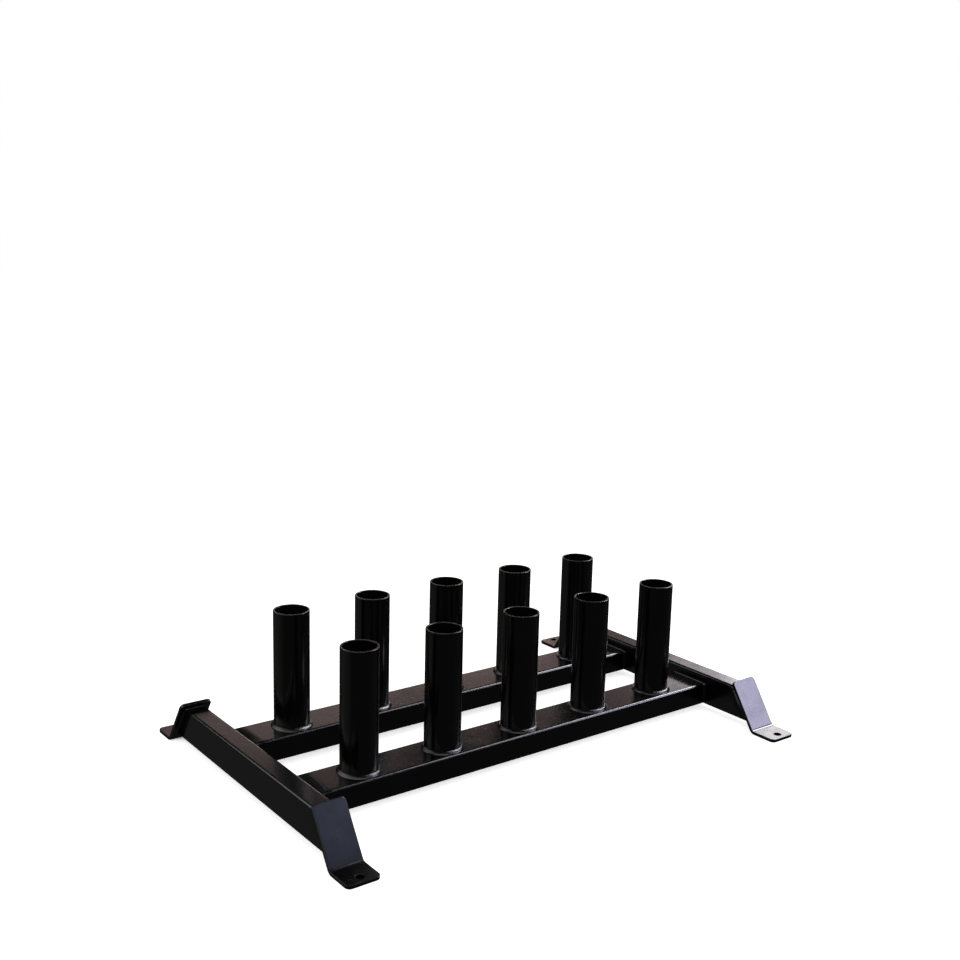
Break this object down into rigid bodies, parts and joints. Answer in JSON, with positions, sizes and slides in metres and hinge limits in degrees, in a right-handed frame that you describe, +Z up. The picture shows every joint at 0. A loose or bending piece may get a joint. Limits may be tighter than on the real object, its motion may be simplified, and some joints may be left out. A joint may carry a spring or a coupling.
{
  "type": "barbell storage rack",
  "caption": "Low black steel base on bent floor feet with two rows of upright round sockets, each holding one bar on end by its sleeve.",
  "frame": {"origin": "on the floor under the middle of the base", "axes": "+Z up, +X along the long rails to the right end, -Y to the front row"},
  "size_m": [0.972, 0.6752, 0.267],
  "materials": {
    "powder_coat": "satin black powder coat on welded steel tube and flat bar",
    "rubber": "matte black moulded rubber"
  },
  "bodies": {
    "root": {"long_rail_front": "powder_coat", "socket_front_1": "powder_coat", "socket_disc_front_1": "rubber", "socket_front_2": "powder_coat", "socket_disc_front_2": "rubber", "socket_front_3": "powder_coat", "socket_disc_front_3": "rubber", "socket_front_4": "powder_coat", "socket_disc_front_4": "rubber", "socket_front_5": "powder_coat", "socket_disc_front_5": "rubber", "long_rail_rear": "powder_coat", "socket_rear_1": "powder_coat", "socket_disc_rear_1": "rubber", "socket_rear_2": "powder_coat", "socket_disc_rear_2": "rubber", "socket_rear_3": "powder_coat", "socket_disc_rear_3": "rubber", "socket_rear_4": "powder_coat", "socket_disc_rear_4": "rubber", "socket_rear_5": "powder_coat", "socket_disc_rear_5": "rubber", "end_rail_left": "powder_coat", "end_rail_right": "powder_coat", "foot_front_left": "powder_coat", "foot_front_right": "powder_coat", "foot_rear_left": "powder_coat", "foot_rear_right": "powder_coat"}
  },
  "joints": []
}
